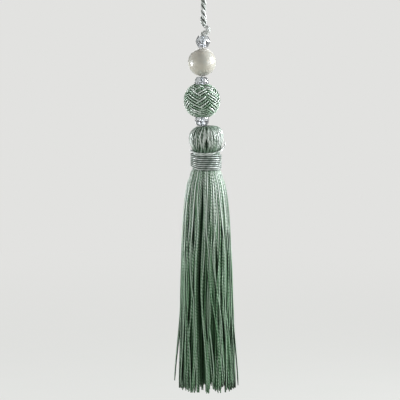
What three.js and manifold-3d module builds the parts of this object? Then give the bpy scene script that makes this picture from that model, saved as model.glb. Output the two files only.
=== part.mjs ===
// Tassel pendant: a twisted silk hanger above three clear rondelles, a pearl and a thread-woven ball,
// all strung on one thread, and a silk tassel whose neck is bound with eight turns of thread.
// Units are millimetres. X runs to the right, Y away from the front and Z up.
// The origin is the point inside the hanging loop where a hook bears, so heights are below it.
import * as THREE from 'three';
import { mergeVertices } from 'three/addons/utils/BufferGeometryUtils.js';
import { ConvexGeometry } from 'three/addons/geometries/ConvexGeometry.js';
import Module from 'manifold-3d';

const wasm = await Module();
wasm.setup();

const FULL_TURN = 2 * Math.PI;
const GAP = 0.3;                 // between neighbouring pieces

// Hanger: three plies laid into a rope, a curl of one strand below it and a whipped loop above it.
const PLY_RADIUS = 0.58;
const PLY_OFFSET = 0.6;          // from the rope's axis to each ply's axis
const ROPE_LAY = 8.1;            // one full turn of the twist
const ROPE_TIP = -24.3;          // where the plies run out in a point
const ROPE_TAPER = 2.2;
const ROPE_STEP = 0.9;
const ROPE_SIDES = 12;
const WHIPPING = { x: -1.3, top: -8.3, bottom: -10.9, halfWidth: 2.75, halfDepth: 1.5 };

// The one thread that carries the beads, and the bore in each of them.
const THREAD_RADIUS = 0.35;
const BORE_RADIUS = 0.78;

// Rondelles: girdle, shoulders and end faces of a twelve-sided cut.
const CUT_SIDES = 12;
const GIRDLE_RADIUS = 3.12;
const SHOULDER_RADIUS = 2.8;
const END_RADIUS = 2.05;
const CRYSTALS = {
  top: { x: -0.21, z: -30.0, halfHeight: 2.5, turn: 0.1 },
  middle: { x: -0.75, z: -47.44, halfHeight: 2.4, turn: 0.32 },
  bottom: { x: -0.6, z: -63.43, halfHeight: 2.4, turn: 0.2 },
};

const PEARL = { x: -0.6, z: -38.77, radius: 5.97 };

// Woven ball: threads that zigzag round a bead, up to five peaks and down to five valleys.
const BALL = { x: -0.64, z: -55.07, radius: 7.6 };
const BALL_PEAKS = 5;
const PEAK_BEARING = -78;        // degrees; one peak stands a little right of the front
const PEAK_LEAN = -0.19;         // how far a peak turns for each degree that it climbs
const BALL_THREADS = 15;         // from the lower rim to the upper one
const THREAD_RISE = 0.32;        // how proud each thread stands
const ZIGZAG_MIDDLE = 13.5;      // half a zigzag's height in degrees, at the equator
const ZIGZAG_RIM = 4;            // and at the rims
const RIM_LATITUDE = 60;         // degrees
const COLUMN_STEPS = 4;          // steps between a peak and a valley

// Tassel: its head, bound neck and skirt, all on the tassel's own axis.
const TASSEL_X = 1.16;
const HEAD_TOP = -65.57;
const HEAD_TILT = 0.045;         // the right shoulder stands higher than the left
const NECK_RADIUS = 5.7;
const NECK_TOP = -76.8;
const SKIRT_ROOT = -85.9;
const ROOT_RADIUS = 6.75;
const HEAD_RIBS = 26;
const RIB_RISE = 0.13;
const SOCKET_DEPTH = 5.9;

// Neck binding: turns of one thread.
const BINDING_TURNS = 7;         // the level ones; the loose top turn rides above them
const BINDING_THREAD = 0.44;     // its radius
const BINDING_TOP = -78.45;
const BINDING_PITCH = 0.96;
const BINDING_RADIUS = NECK_RADIUS + GAP + BINDING_THREAD;
const LOW_TURN_RIDE = { left: 1.5, right: 0.8 };
const LOOSE_TURN = { above: 0.85, left: 1.9, right: 2.7, pushLeft: 0.55, pushRight: 1.1 };

// Skirt: rings of strands, from the outermost to the one at the centre.
const SKIRT_LENGTH = 93.6;
const SKIRT_MOUTH = 7.1;         // its outside radius at the binding
const SKIRT_SPREAD = 3.5;        // how far it spreads below the binding
const SPREAD_DEPTH = 12.3;       // over about this depth
const SKIRT_FLARE = 0.0185;      // and how much more for each millimetre down
const STRAND_RADIUS = 0.5;
const ENDS_UNEVEN = 5.2;         // the shortest strand ends this far above the longest
const SKIRT_RINGS = [
  { share: 0.985, strands: 50 },
  { share: 0.862, strands: 42 },
  { share: 0.738, strands: 35 },
  { share: 0.612, strands: 29 },
  { share: 0.488, strands: 23 },
  { share: 0.362, strands: 16 },
  { share: 0.235, strands: 10 },
  { share: 0.11, strands: 4 },
];
// Where along its length a strand bends, measured down from its root.
const STRAND_LEVELS = [0, 5, 14, 32, 64, SKIRT_LENGTH];
// Strands of the outer ring that stray from the rest: bearing, and how far out each one ends.
const STRAYS = [
  { bearing: 3.3, reach: 2.4 },
  { bearing: 3.02, reach: 1.9 },
  { bearing: -0.12, reach: 2.2 },
];

const MATERIALS = {
  rope: new THREE.MeshStandardMaterial({ color: 0xd3dbd0, roughness: 0.5, metalness: 0 }),
  thread: new THREE.MeshStandardMaterial({ color: 0xc9d2c8, roughness: 0.6, metalness: 0 }),
  crystal: new THREE.MeshStandardMaterial({ color: 0xe9ebf2, roughness: 0.05, metalness: 0 }),
  pearl: new THREE.MeshStandardMaterial({ color: 0xc8c4b4, roughness: 0.22, metalness: 0 }),
  ball: new THREE.MeshStandardMaterial({ color: 0x9db2a1, roughness: 0.48, metalness: 0 }),
  binding: new THREE.MeshStandardMaterial({ color: 0xaebdb0, roughness: 0.48, metalness: 0 }),
  tassel: new THREE.MeshStandardMaterial({ color: 0x8fab98, roughness: 0.48, metalness: 0 }),
};

// Evenly spread numbers from 0 to 1 that are the same on every run.
function seededRandom(seed) {
  let state = seed;
  return () => {
    state = (state + 0x6d2b79f5) | 0;
    let mixed = Math.imul(state ^ (state >>> 15), 1 | state);
    mixed = (mixed + Math.imul(mixed ^ (mixed >>> 7), 61 | mixed)) ^ mixed;
    return ((mixed ^ (mixed >>> 14)) >>> 0) / 4294967296;
  };
}

// Joins the vertices that coincide and drops the triangles that this closes up.
function weld(geometry) {
  geometry.deleteAttribute('normal');
  geometry.deleteAttribute('uv');
  const welded = mergeVertices(geometry, 1e-4);
  const corners = welded.index.array;
  const kept = [];
  for (let i = 0; i < corners.length; i += 3) {
    const [a, b, c] = corners.slice(i, i + 3);
    if (a !== b && b !== c && c !== a) {
      kept.push(a, b, c);
    }
  }
  welded.setIndex(kept);
  return welded;
}

function toSolid(geometry) {
  const welded = weld(geometry);
  return new wasm.Manifold(new wasm.Mesh({
    numProp: 3,
    vertProperties: Float32Array.from(welded.attributes.position.array),
    triVerts: Uint32Array.from(welded.index.array),
  }));
}

function toGeometry(solid) {
  const mesh = solid.getMesh();
  const geometry = new THREE.BufferGeometry();
  geometry.setAttribute('position', new THREE.BufferAttribute(mesh.vertProperties, 3));
  geometry.setIndex(new THREE.BufferAttribute(mesh.triVerts, 1));
  return geometry;
}

function moveVertices(geometry, move) {
  const position = geometry.attributes.position;
  const point = new THREE.Vector3();
  for (let i = 0; i < position.count; i += 1) {
    point.fromBufferAttribute(position, i);
    move(point);
    position.setXYZ(i, point.x, point.y, point.z);
  }
  return geometry;
}

function regularSection(sides) {
  const corners = [];
  for (let i = 0; i < sides; i += 1) {
    const angle = (FULL_TURN * i) / sides;
    corners.push(new THREE.Vector2(Math.cos(angle), Math.sin(angle)));
  }
  return new THREE.Shape(corners);
}

// A closed tube: a straight bar of unit radius and length, cut into steps and carried onto a curve.
// radiusAt(share, angle) gives its radius, and share runs from 0 to 1 along the curve.
function tubeAlong(curve, sides, steps, radiusAt) {
  const bar = new THREE.ExtrudeGeometry(regularSection(sides), { depth: 1, steps, bevelEnabled: false });
  const depthwards = new THREE.Vector3(0, 1, 0);
  return moveVertices(bar, (point) => {
    const share = THREE.MathUtils.clamp(point.z, 0, 1);
    const angle = Math.atan2(point.y, point.x);
    const radius = radiusAt(share, angle);
    const along = curve.getTangentAt(share);
    const side = new THREE.Vector3().crossVectors(depthwards, along).normalize();
    const back = new THREE.Vector3().crossVectors(along, side);
    point.copy(curve.getPointAt(share));
    point.addScaledVector(side, radius * Math.cos(angle));
    point.addScaledVector(back, radius * Math.sin(angle));
  });
}

// A turned piece about the Z axis. The profile's points are [radius, height], from the bottom up.
function turned(profile, segments) {
  const points = profile.map(([radius, height]) => new THREE.Vector2(radius, height));
  return new THREE.LatheGeometry(points, segments).rotateX(Math.PI / 2);
}

function cylinderCutter(radius, bottom, top, sides) {
  const cutter = new THREE.CylinderGeometry(radius, radius, top - bottom, sides);
  return cutter.rotateX(Math.PI / 2).translate(0, 0, (top + bottom) / 2);
}

function smoothstep(low, high, value) {
  return THREE.MathUtils.smoothstep(value, low, high);
}

// Hanger

// The outline of three round plies that lie side by side and turn about the rope's axis.
function ropeRadius(angle, distance) {
  const turn = angle + (FULL_TURN * distance) / ROPE_LAY;
  const plySpan = FULL_TURN / 3;
  const fromPly = turn - plySpan * Math.round(turn / plySpan);
  const across = PLY_OFFSET * Math.sin(fromPly);
  return PLY_OFFSET * Math.cos(fromPly) + Math.sqrt(PLY_RADIUS ** 2 - across ** 2);
}

// The rope's route, from its pointed tip up the standing part, round the loop and down the tail.
const ropeRoute = new THREE.CatmullRomCurve3([
  new THREE.Vector3(0.5, 0, ROPE_TIP),
  new THREE.Vector3(0.22, 0, -23.1),
  new THREE.Vector3(0.04, 0, -21.6),
  new THREE.Vector3(0, 0, -18.5),
  new THREE.Vector3(0, 0, -15.2),
  new THREE.Vector3(0, 0, -12.3),
  new THREE.Vector3(0.08, 0, -10.2),
  new THREE.Vector3(0.42, 0, -8.1),
  new THREE.Vector3(1.75, 0, -6.0),
  new THREE.Vector3(3.0, 0, -3.6),
  new THREE.Vector3(2.9, 0, -0.9),
  new THREE.Vector3(1.5, 0, 0.75),
  new THREE.Vector3(-0.2, 0, 1.18),
  new THREE.Vector3(-2.0, 0, 0.6),
  new THREE.Vector3(-3.35, 0, -1.1),
  new THREE.Vector3(-3.65, 0, -3.6),
  new THREE.Vector3(-3.1, 0, -6.2),
  new THREE.Vector3(-2.72, 0, -8.4),
  new THREE.Vector3(-2.66, 0, -11.3),
], false, 'centripetal');

const curlFoot = CRYSTALS.top.z + CRYSTALS.top.halfHeight + GAP;

// The single strand that leaves the rope, curls to the right and spreads on the top rondelle.
const curlRoute = new THREE.CatmullRomCurve3([
  new THREE.Vector3(0.35, 0, -22.6),
  new THREE.Vector3(0.85, -0.1, -23.4),
  new THREE.Vector3(1.65, -0.3, -23.95),
  new THREE.Vector3(2.05, -0.45, -24.75),
  new THREE.Vector3(1.85, -0.4, -25.5),
  new THREE.Vector3(1.2, -0.25, -26.2),
  new THREE.Vector3(0.45, -0.1, -26.65),
  new THREE.Vector3(0.15, 0, curlFoot + 0.25),
  new THREE.Vector3(0.15, 0, curlFoot),
], false, 'centripetal');

function curlRadius(share) {
  const body = 0.42 + 0.6 * smoothstep(0.1, 0.6, share);
  return body + 0.6 * smoothstep(0.7, 0.98, share);
}

function hangerCord() {
  const length = ropeRoute.getLength();
  const rope = tubeAlong(ropeRoute, ROPE_SIDES, Math.round(length / ROPE_STEP), (share, angle) => {
    const distance = share * length;
    const tip = 0.2 + 0.8 * smoothstep(0, ROPE_TAPER, distance);
    const tail = 0.55 + 0.45 * smoothstep(0, 1.6, length - distance);
    return ropeRadius(angle, distance) * tip * tail;
  });
  const curl = tubeAlong(curlRoute, 10, 16, curlRadius);
  const { top, bottom, halfWidth, halfDepth } = WHIPPING;
  const height = top - bottom;
  const wraps = turned([
    [0, bottom], [0.86, bottom], [1, bottom + 0.12 * height], [0.94, bottom + 0.25 * height],
    [1, bottom + 0.38 * height], [0.94, bottom + 0.5 * height], [1, bottom + 0.62 * height],
    [0.94, bottom + 0.75 * height], [1, bottom + 0.88 * height], [0.86, top], [0, top],
  ], 16);
  wraps.scale(halfWidth, halfDepth, 1).translate(WHIPPING.x, 0, 0);
  return toGeometry(wasm.Manifold.union([rope, curl, wraps].map(toSolid)));
}

// Beads and their thread

function rondelle({ halfHeight, turn }) {
  const corners = [];
  const addRing = (radius, height, offset) => {
    for (let i = 0; i < CUT_SIDES; i += 1) {
      const angle = turn + (FULL_TURN * (i + offset)) / CUT_SIDES;
      corners.push(new THREE.Vector3(radius * Math.cos(angle), radius * Math.sin(angle), height));
    }
  };
  addRing(GIRDLE_RADIUS, 0, 0);
  [-1, 1].forEach((end) => {
    addRing(SHOULDER_RADIUS, 0.5 * halfHeight * end, 0.5);
    addRing(END_RADIUS, halfHeight * end, 0);
  });
  const bore = cylinderCutter(BORE_RADIUS, -halfHeight - 1, halfHeight + 1, 10);
  return toGeometry(toSolid(new ConvexGeometry(corners)).subtract(toSolid(bore)));
}

// The profile of a bored ball: up the outside from its lower hole and down the bore.
function arcProfile(radius, lowAngle, highAngle, steps) {
  const profile = [];
  for (let i = 0; i <= steps; i += 1) {
    const angle = lowAngle + ((highAngle - lowAngle) * i) / steps;
    profile.push([radius * Math.cos(angle), radius * Math.sin(angle)]);
  }
  return profile;
}

function pearlBead() {
  const rim = Math.acos(BORE_RADIUS / PEARL.radius);
  const profile = arcProfile(PEARL.radius, -rim, rim, 14);
  return turned([...profile, profile[0]], 24);
}

// A point on a sphere, at a latitude in degrees and at a bearing that leans with the weave.
function leaningPoint(latitude, bearing, radius) {
  const height = THREE.MathUtils.degToRad(latitude);
  const turn = bearing + THREE.MathUtils.degToRad(PEAK_BEARING + PEAK_LEAN * latitude);
  return new THREE.Vector3(
    radius * Math.cos(height) * Math.cos(turn),
    radius * Math.cos(height) * Math.sin(turn),
    radius * Math.sin(height),
  );
}

// How far the zigzag lifts a thread, in degrees of latitude.
function zigzagLift(latitude, bearing) {
  const fromPeak = (bearing * BALL_PEAKS) / FULL_TURN;
  const zigzag = 1 - 4 * Math.abs(fromPeak - Math.round(fromPeak));
  const nearRim = (latitude / RIM_LATITUDE) ** 2;
  return zigzag * THREE.MathUtils.lerp(ZIGZAG_MIDDLE, ZIGZAG_RIM, nearRim);
}

function wovenBall() {
  const { middle, bottom } = CRYSTALS;
  const upperFloor = middle.z - middle.halfHeight - GAP - BALL.z;
  const lowerFloor = bottom.z + bottom.halfHeight + GAP - BALL.z;
  const rim = THREE.MathUtils.degToRad(RIM_LATITUDE);
  const rows = 2 * BALL_THREADS;
  const seat = END_RADIUS + GAP + 0.15;
  const profile = [
    [BORE_RADIUS, lowerFloor],
    [seat, lowerFloor],
    ...arcProfile(BALL.radius, -rim, rim, rows),
    [seat, upperFloor],
    [BORE_RADIUS, upperFloor],
    [BORE_RADIUS, lowerFloor],
  ];
  const ball = turned(profile, 2 * BALL_PEAKS * COLUMN_STEPS);
  return moveVertices(ball, (point) => {
    const radius = point.length();
    const latitude = THREE.MathUtils.radToDeg(Math.asin(point.z / radius));
    const bearing = Math.atan2(point.y, point.x);
    if (radius < BALL.radius - 0.01) {
      point.copy(leaningPoint(latitude, bearing, radius));
      return;
    }
    const row = Math.round((rows * (latitude + RIM_LATITUDE)) / (2 * RIM_LATITUDE));
    const rise = row % 2 === 1 ? THREAD_RISE : 0;
    const woven = latitude + zigzagLift(latitude, bearing);
    point.copy(leaningPoint(woven, bearing, BALL.radius + rise));
  });
}

const socketFloor = HEAD_TOP - SOCKET_DEPTH;
const threadRoute = new THREE.CatmullRomCurve3([
  new THREE.Vector3(CRYSTALS.top.x, 0, CRYSTALS.top.z + CRYSTALS.top.halfHeight),
  new THREE.Vector3(CRYSTALS.top.x, 0, CRYSTALS.top.z),
  new THREE.Vector3(PEARL.x, 0, PEARL.z),
  new THREE.Vector3(CRYSTALS.middle.x, 0, CRYSTALS.middle.z),
  new THREE.Vector3(BALL.x, 0, BALL.z),
  new THREE.Vector3(CRYSTALS.bottom.x, 0, CRYSTALS.bottom.z),
  new THREE.Vector3(CRYSTALS.bottom.x, 0, socketFloor + GAP),
], false, 'centripetal');

function beadThread() {
  return tubeAlong(threadRoute, 8, 14, () => THREAD_RADIUS);
}

// Tassel

// How far the side of a turn rides up: most at the left for the low turns, at both sides for the top.
function rideUp(bearing, { left, right }) {
  const toRight = Math.max(0, Math.cos(bearing)) ** 2;
  const toLeft = Math.max(0, -Math.cos(bearing)) ** 2;
  return left * toLeft + right * toRight;
}

// The head's and neck's profile below the head's top: radius, and height.
const HEAD_PROFILE = [
  [0, SKIRT_ROOT],
  [ROOT_RADIUS, SKIRT_ROOT],
  [ROOT_RADIUS + 0.2, SKIRT_ROOT + 0.35],
  [NECK_RADIUS + 0.35, SKIRT_ROOT + 0.8],
  [NECK_RADIUS, SKIRT_ROOT + 1.1],
  [NECK_RADIUS, NECK_TOP],
  [5.95, -76.0],
  [6.45, -74.7],
  [7.0, -73.0],
  [7.25, -70.7],
  [7.0, -69.1],
  [6.2, -67.75],
  [4.85, -66.6],
  [3.2, -65.85],
  [1.6, HEAD_TOP],
  [0, HEAD_TOP],
];

function tasselHead() {
  const head = turned(HEAD_PROFILE, 2 * HEAD_RIBS);
  moveVertices(head, (point) => {
    const reach = Math.hypot(point.x, point.y);
    const bearing = Math.atan2(point.y, point.x);
    const aboveNeck = point.z > NECK_TOP - 0.01;
    if (reach > NECK_RADIUS + 0.01 || aboveNeck && reach > 0.1) {
      const rib = RIB_RISE * Math.cos(HEAD_RIBS * bearing) * smoothstep(1, 5, reach);
      const bulge = aboveNeck ? 0.1 * Math.sin(5 * bearing + 0.7) : 0;
      const wide = 1 + (rib + bulge) / reach;
      point.x *= wide;
      point.y *= wide;
    }
    if (aboveNeck) {
      point.z += HEAD_TILT * point.x * smoothstep(NECK_TOP, -70, point.z);
    } else {
      point.z += rideUp(bearing, LOW_TURN_RIDE) * smoothstep(SKIRT_ROOT, SKIRT_ROOT + 0.8, point.z);
    }
    point.x += TASSEL_X;
  });
  const { x, z, halfHeight } = CRYSTALS.bottom;
  const dentFloor = z - halfHeight - GAP;
  const dent = turned([
    [0, dentFloor], [END_RADIUS + 0.35, dentFloor], [4.4, dentFloor + 1.5], [4.4, HEAD_TOP + 2],
    [0, HEAD_TOP + 2],
  ], 16).translate(x, 0, 0);
  const socket = cylinderCutter(BORE_RADIUS, socketFloor, HEAD_TOP + 2, 10).translate(x, 0, 0);
  return toSolid(head).subtract(toSolid(dent)).subtract(toSolid(socket));
}

// The skirt's outside radius at a depth below its roots.
function skirtRadius(depth) {
  return SKIRT_MOUTH + SKIRT_SPREAD * (1 - Math.exp(-depth / SPREAD_DEPTH)) + SKIRT_FLARE * depth;
}

// Where a strand runs at a depth: its ring spreads with the skirt, and the locks draw together.
function strandPoint(share, bearing, depth, reach) {
  const fall = depth / SKIRT_LENGTH;
  const lock = 0.035 * Math.sin(9 * bearing + 1.3) + 0.03 * Math.sin(4 * bearing + 2.4 + 2 * fall);
  const drawn = bearing + lock * smoothstep(0, 0.5, fall);
  const outer = skirtRadius(depth) - STRAND_RADIUS;
  const uneven = 1 + 0.02 * Math.sin(3 * bearing + 0.5) * fall + 0.016 * Math.sin(7 * bearing) * fall;
  const stray = reach * smoothstep(0.6, 1, fall) * smoothstep(0.9, 0.97, share);
  const root = Math.min(outer, ROOT_RADIUS - 0.35);
  const radius = share * THREE.MathUtils.lerp(root, outer, smoothstep(0, 0.05, fall)) * uneven + stray;
  return new THREE.Vector3(
    TASSEL_X + radius * Math.cos(drawn) + 0.5 * fall * Math.sin(2.2 * fall),
    radius * Math.sin(drawn),
    SKIRT_ROOT - depth,
  );
}

function skirtStrand(share, bearing, shortBy, thickness) {
  const stray = STRAYS.find((one) => Math.abs(Math.atan2(
    Math.sin(bearing - one.bearing),
    Math.cos(bearing - one.bearing),
  )) < FULL_TURN / (2.02 * SKIRT_RINGS[0].strands));
  const reach = stray ? stray.reach : 0;
  const steps = STRAND_LEVELS.length - 1;
  const strand = new THREE.ExtrudeGeometry(regularSection(3), { depth: 1, steps, bevelEnabled: false });
  moveVertices(strand, (point) => {
    const level = Math.round(point.z * steps);
    const depth = level === steps ? SKIRT_LENGTH - shortBy : STRAND_LEVELS[level];
    const centre = strandPoint(share, bearing, depth, reach);
    const radius = thickness * (level === 0 ? 0.55 : THREE.MathUtils.lerp(0.7, 1, smoothstep(0, 30, depth)));
    const angle = Math.atan2(point.y, point.x) - bearing;
    const rooted = level === 0 ? 0.5 : 0;
    point.set(
      centre.x + radius * Math.cos(angle),
      centre.y - radius * Math.sin(angle),
      centre.z + rooted,
    );
  });
  return toSolid(strand);
}

function skirtStrands() {
  const random = seededRandom(12);
  const strands = [];
  SKIRT_RINGS.forEach(({ share, strands: count }, ring) => {
    for (let i = 0; i < count; i += 1) {
      const bearing = (FULL_TURN * (i + 0.5 * (ring % 2) + 0.24 * (random() - 0.5))) / count;
      const shortBy = ENDS_UNEVEN * random() ** 1.6 + 1.4 * (1 - share);
      const thickness = STRAND_RADIUS + 0.1 * random();
      strands.push(skirtStrand(share, bearing, shortBy, thickness));
    }
  });
  return strands;
}

function tassel() {
  return toGeometry(wasm.Manifold.union([tasselHead(), ...skirtStrands()]));
}

// Neck binding

function levelTurns() {
  const profile = [];
  const bottom = BINDING_TOP - BINDING_PITCH * (BINDING_TURNS - 1) - 0.5 * BINDING_PITCH;
  const top = BINDING_TOP + 0.5 * BINDING_PITCH;
  const inside = NECK_RADIUS + GAP;
  profile.push([inside, bottom], [BINDING_RADIUS - 0.1, bottom]);
  for (let turn = 0; turn < BINDING_TURNS; turn += 1) {
    const height = bottom + BINDING_PITCH * (turn + 0.5);
    profile.push([BINDING_RADIUS + BINDING_THREAD, height]);
    profile.push([BINDING_RADIUS + 0.1, height + 0.5 * BINDING_PITCH]);
  }
  profile.push([inside, top + 0.35], [inside, bottom]);
  const turns = turned(profile, 36);
  return moveVertices(turns, (point) => {
    const bearing = Math.atan2(point.y, point.x);
    const low = THREE.MathUtils.clamp((top - point.z) / (top - bottom), 0, 1);
    point.z += low * rideUp(bearing, LOW_TURN_RIDE);
  });
}

// The first turn lies loosely: it rides up over the foot of the head at both sides.
function looseTurn() {
  const ring = new THREE.TorusGeometry(BINDING_RADIUS, BINDING_THREAD, 6, 40);
  return moveVertices(ring, (point) => {
    const bearing = Math.atan2(point.y, point.x);
    const lift = rideUp(bearing, LOOSE_TURN);
    const furthest = point.x > 0 ? LOOSE_TURN.pushRight : LOOSE_TURN.pushLeft;
    const outwards = 1 + (furthest * smoothstep(0.15, 1.4, lift)) / BINDING_RADIUS;
    point.set(point.x * outwards, point.y * outwards, point.z + BINDING_TOP + LOOSE_TURN.above + lift);
  });
}

function neckBinding() {
  return toGeometry(toSolid(levelTurns()).add(toSolid(looseTurn())));
}

// Assembly

const group = new THREE.Group();
function place(name, geometry, material, { x = 0, z = 0 } = {}) {
  const mesh = new THREE.Mesh(geometry, material);
  mesh.name = name;
  mesh.position.set(x, 0, z);
  group.add(mesh);
}

place('hanger_cord', hangerCord(), MATERIALS.rope);
place('bead_thread', beadThread(), MATERIALS.thread);
place('crystal_bead_top', rondelle(CRYSTALS.top), MATERIALS.crystal, CRYSTALS.top);
place('pearl_bead', pearlBead(), MATERIALS.pearl, PEARL);
place('crystal_bead_middle', rondelle(CRYSTALS.middle), MATERIALS.crystal, CRYSTALS.middle);
place('woven_ball', wovenBall(), MATERIALS.ball, BALL);
place('crystal_bead_bottom', rondelle(CRYSTALS.bottom), MATERIALS.crystal, CRYSTALS.bottom);
place('tassel', tassel(), MATERIALS.tassel);
place('neck_binding', neckBinding(), MATERIALS.binding, { x: TASSEL_X });

export default group;
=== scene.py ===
"""The looks of a hanging silk tassel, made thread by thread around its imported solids.

Shapes are worked out in millimetres and made in metres. X runs to the right, Y away from the front and
Z up. The origin is the point inside the hanging loop that a hook bears on, so heights are below it.
"""
import math

import bmesh
import bpy
import numpy as np
from bpy.props import FloatProperty, FloatVectorProperty, IntProperty, PointerProperty
from bpy.types import Operator, Panel, PropertyGroup
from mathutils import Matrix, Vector


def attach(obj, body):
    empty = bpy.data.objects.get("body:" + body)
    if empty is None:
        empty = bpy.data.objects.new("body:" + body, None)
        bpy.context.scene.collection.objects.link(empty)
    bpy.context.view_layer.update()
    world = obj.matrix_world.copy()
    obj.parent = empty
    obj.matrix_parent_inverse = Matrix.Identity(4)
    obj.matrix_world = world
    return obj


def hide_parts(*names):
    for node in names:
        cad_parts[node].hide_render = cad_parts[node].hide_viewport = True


bl_info = {
    "name": "Tassel Pendant",
    "version": (1, 0, 0),
    "blender": (4, 5, 0),
    "location": "3D View > Sidebar > Tassel Pendant",
    "description": "Makes a silk tassel with its beads, woven ball and twisted hanger",
    "category": "Add Mesh",
}

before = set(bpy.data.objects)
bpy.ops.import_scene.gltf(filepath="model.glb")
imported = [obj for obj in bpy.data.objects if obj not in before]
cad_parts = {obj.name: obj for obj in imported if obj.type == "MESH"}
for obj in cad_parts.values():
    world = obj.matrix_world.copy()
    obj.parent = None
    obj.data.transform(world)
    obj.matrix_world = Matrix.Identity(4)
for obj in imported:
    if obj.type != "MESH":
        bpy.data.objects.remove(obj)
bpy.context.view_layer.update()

MM = 0.001
FULL_TURN = 2 * math.pi
# Room left between some pieces and what they lie on.
GAP = 0.3

# The solids' own places, which every piece is made on.
TASSEL_X = 1.16
NECK_RADIUS = 5.7
SKIRT_ROOT = -85.9
SKIRT_LENGTH = 93.6
BORE_RADIUS = 0.78
BALL_CENTRE = (-0.64, 0, -55.07)
PEARL_CENTRE = (-0.6, 0, -38.77)
CRYSTALS = {
    "crystal_bead_top": {"centre": (-0.21, 0, -30.0), "half_height": 2.5, "turn": 0.1},
    "crystal_bead_middle": {"centre": (-0.75, 0, -47.44), "half_height": 2.4, "turn": 0.32},
    "crystal_bead_bottom": {"centre": (-0.6, 0, -63.43), "half_height": 2.4, "turn": 0.2},
}
ROPE_ROUTE = [
    (0.5, 0, -24.3), (0.22, 0, -23.1), (0.04, 0, -21.6), (0, 0, -18.5), (0, 0, -15.2), (0, 0, -12.3),
    (0.08, 0, -10.2), (0.42, 0, -8.1), (1.75, 0, -6.0), (3.0, 0, -3.6), (2.9, 0, -0.9), (1.5, 0, 0.75),
    (-0.2, 0, 1.18), (-2.0, 0, 0.6), (-3.35, 0, -1.1), (-3.65, 0, -3.6), (-3.1, 0, -6.2),
    (-2.72, 0, -8.4), (-2.66, 0, -11.3),
]
CURL_ROUTE = [
    (0.35, 0, -22.6), (0.85, -0.1, -23.4), (1.65, -0.3, -23.95), (2.05, -0.45, -24.75),
    (1.85, -0.4, -25.5), (1.2, -0.25, -26.2), (0.45, -0.1, -26.65), (0.15, 0, -26.95), (0.15, 0, -27.2),
]
THREAD_ROUTE = [
    (-0.21, 0, -27.5), (-0.21, 0, -30), (-0.6, 0, -38.77), (-0.75, 0, -47.44), (-0.64, 0, -55.07),
    (-0.6, 0, -63.43), (-0.6, 0, -71.17),
]
# The head's and neck's outside, from the hole at the top: radius and height.
HEAD_PROFILE = [
    (0, -65.57), (1.6, -65.57), (3.2, -65.85), (4.85, -66.6), (6.2, -67.75), (7.0, -69.1), (7.25, -70.7),
    (7.0, -73.0), (6.45, -74.7), (5.95, -76.0), (5.7, -76.8), (5.7, -79.0), (5.7, -84.8),
]
# Length of one turn of the plies in each thread, for its shape and its finish alike.
LAY = {"hanger": 3.4, "bead_thread": 2.2, "ball": 2.1, "head": 3.1, "skirt": 2.7, "binding": 5.3}


def linear(red, green, blue):
    """A screen colour of 0 to 255 as the linear one that Blender works in."""
    shares = (channel / 255 for channel in (red, green, blue))
    return tuple(s / 12.92 if s <= 0.04045 else ((s + 0.055) / 1.055) ** 2.4 for s in shares)


def colour_property(name, description, default):
    return FloatVectorProperty(
        name=name, description=description, default=default, size=3, min=0, max=1, subtype="COLOR"
    )


def length_property(name, description, default):
    """A length in metres, whose default is given in millimetres."""
    return FloatProperty(name=name, description=description, default=default * MM, min=0, unit="LENGTH")


def count_property(name, description, default):
    return IntProperty(name=name, description=description, default=default, min=1)


class TasselSizes(PropertyGroup):
    """Sizes of the threads and of what they make."""

    ply_radius: length_property("Hanger ply", "Radius of each of the hanger's three plies", 0.55)
    hanger_lay: length_property("Hanger lay", "Length of one turn of the hanger's plies", 8.1)
    ball_thread: length_property("Ball thread", "Radius of the thread woven round the ball", 0.4)
    ball_passes: count_property("Ball passes", "Threads side by side round the ball", 5)
    pearl_radius: length_property("Pearl", "Radius of the pearl bead", 5.97)
    head_bundles: count_property("Head bundles", "Bundles of thread round the head", 26)
    skirt_length: length_property("Skirt length", "From the binding to its longest end", SKIRT_LENGTH)
    skirt_thread: length_property("Skirt thread", "Radius of a thread of the skirt", 0.32)
    binding_thread: length_property("Binding thread", "Radius of the thread round the neck", 0.37)
    binding_turns: count_property("Binding turns", "Level turns round the neck", 8)


class TasselColours(PropertyGroup):
    """Colours of the silk, the beads and the floor."""

    hanger_silk: colour_property("Hanger silk", "Pale silk of the hanger", linear(206, 212, 206))
    ball_silk: colour_property("Ball silk", "Sage silk woven round the ball", linear(91, 150, 100))
    head_silk: colour_property("Head silk", "Sage silk of the tassel's head", linear(80, 126, 88))
    binding_silk: colour_property("Binding silk", "Pale sage silk round the neck", linear(88, 118, 96))
    skirt_silk: colour_property("Skirt silk", "Sage silk of the skirt", linear(88, 156, 97))
    pearl_coat: colour_property("Pearl coat", "Coat of the pearl bead", linear(190, 188, 180))
    crystal: colour_property("Crystal", "Tint of the cut glass", linear(243, 239, 250))
    floor: colour_property("Floor", "Plain pale floor", linear(226, 226, 224))


def chosen(context):
    """The sizes and colours set in the sidebar."""
    return context.scene.tassel_sizes, context.scene.tassel_colours


# Routes


def unit(vectors):
    return vectors / np.maximum(np.linalg.norm(vectors, axis=-1, keepdims=True), 1e-9)


def smoothstep(low, high, value):
    """0 below low and 1 above high, smooth in between."""
    share = np.clip((np.asarray(value, float) - low) / (high - low), 0, 1)
    return share * share * (3 - 2 * share)


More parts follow.
